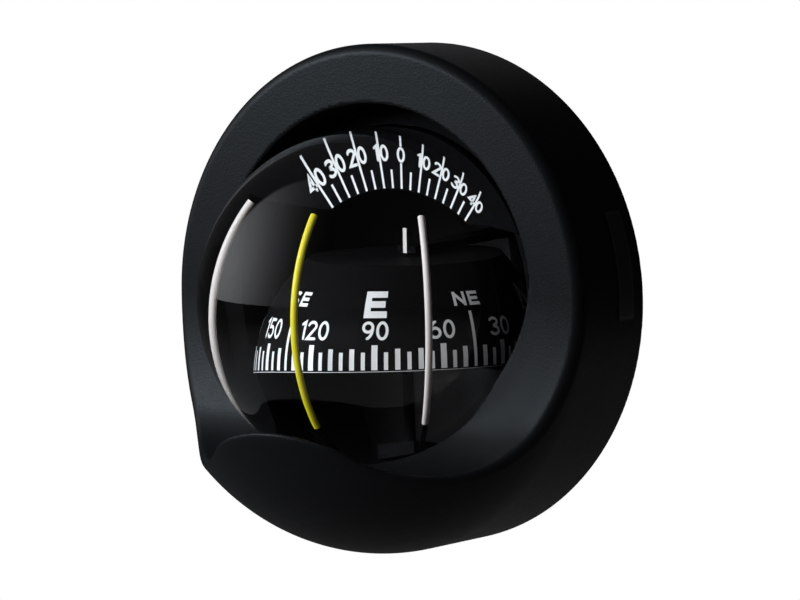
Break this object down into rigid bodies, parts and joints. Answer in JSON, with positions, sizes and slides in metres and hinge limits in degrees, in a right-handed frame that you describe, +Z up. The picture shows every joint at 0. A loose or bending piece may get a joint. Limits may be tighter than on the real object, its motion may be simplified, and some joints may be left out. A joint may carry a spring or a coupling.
{
  "type": "bulkhead compass",
  "caption": "Bulkhead-mounted dome compass: round black housing with a scooped chin, clear dome, turning card, lubber lines and heel scale.",
  "frame": {"origin": "centre of the gasket's back face, on the bulkhead and on the axis of the bowl", "axes": "+Y along the capsule's axis into the bulkhead, -Y towards the helmsman, +X to the right as the helmsman sees it, +Z up"},
  "size_m": [0.1352, 0.1104, 0.135],
  "materials": {
    "black_plastic": "fine-grained matte black moulded plastic",
    "label_black": "thin black label, bare",
    "black_rubber": "smooth black rubber",
    "steel": "stainless steel",
    "capsule_plastic": "smooth black moulded plastic",
    "clear_acrylic": "clear polished acrylic",
    "frame_plastic": "black moulded plastic",
    "yellow_line": "bright yellow",
    "white_line": "warm white",
    "scale_black": "black plate with white print",
    "bronze": "sintered bronze",
    "brass": "turned brass",
    "ruby": "polished sapphire cup",
    "float_plastic": "moulded hollow float",
    "magnet": "coated magnet",
    "card_black": "satin black card with white print",
    "fibre": "red fibre sealing washer",
    "red_lens": "red moulded window",
    "circuit_board": "green circuit board",
    "led_resin": "lamp body of cast resin"
  },
  "bodies": {
    "case": {"housing": "black_plastic", "label_plate": "label_black", "bulkhead_gasket": "black_rubber", "mounting_base": "black_plastic", "mounting_screws": "steel", "bowl": "capsule_plastic", "dome_seal": "black_rubber", "dome": "clear_acrylic", "clamp_ring": "black_plastic", "clamp_screws": "steel", "lubber_frame": "frame_plastic", "lubber_line_front": "yellow_line", "lubber_line_left": "white_line", "lubber_line_right": "white_line", "heel_scale": "scale_black", "heel_bush": "bronze", "compensator_block": "frame_plastic", "expansion_diaphragm": "black_rubber", "diaphragm_ring": "capsule_plastic", "diaphragm_screws": "steel", "filler_plug": "brass", "filler_washer": "fibre", "lamp_lens": "red_lens", "lamp_cover": "capsule_plastic", "lamp_screws": "steel", "lamp_board": "circuit_board", "lamp_led": "led_resin", "cable_gland": "black_rubber"},
    "cradle": {"heel_shaft": "steel", "shaft_clip": "steel", "cradle": "frame_plastic", "heel_weight": "brass", "heel_pointer": "white_line", "pivot_post": "steel"},
    "card": {"jewel_cup": "ruby", "card_float": "float_plastic", "card_magnets": "magnet", "compass_card": "card_black"},
    "athwart_corrector": {"athwart_spindle": "brass", "athwart_magnet": "magnet"},
    "fore_aft_corrector": {"fore_aft_spindle": "brass", "fore_aft_magnet": "magnet"}
  },
  "joints": [
    {"name": "heel", "type": "hinge", "parent": "case", "child": "cradle", "pos_m": [0, 0, -0.0044], "axis": [0, 1, 0], "range_deg": [-40, 40]},
    {"name": "card_turn", "type": "hinge", "parent": "cradle", "child": "card", "pos_m": [0, -0.0174, 0], "axis": [0, 0, 1], "continuous": true},
    {"name": "athwart_turn", "type": "hinge", "parent": "case", "child": "athwart_corrector", "pos_m": [0, -0.0226, -0.0581], "axis": [1, 0, 0], "continuous": true},
    {"name": "fore_aft_turn", "type": "hinge", "parent": "case", "child": "fore_aft_corrector", "pos_m": [0, -0.029, -0.0581], "axis": [0, 1, 0], "continuous": true}
  ]
}
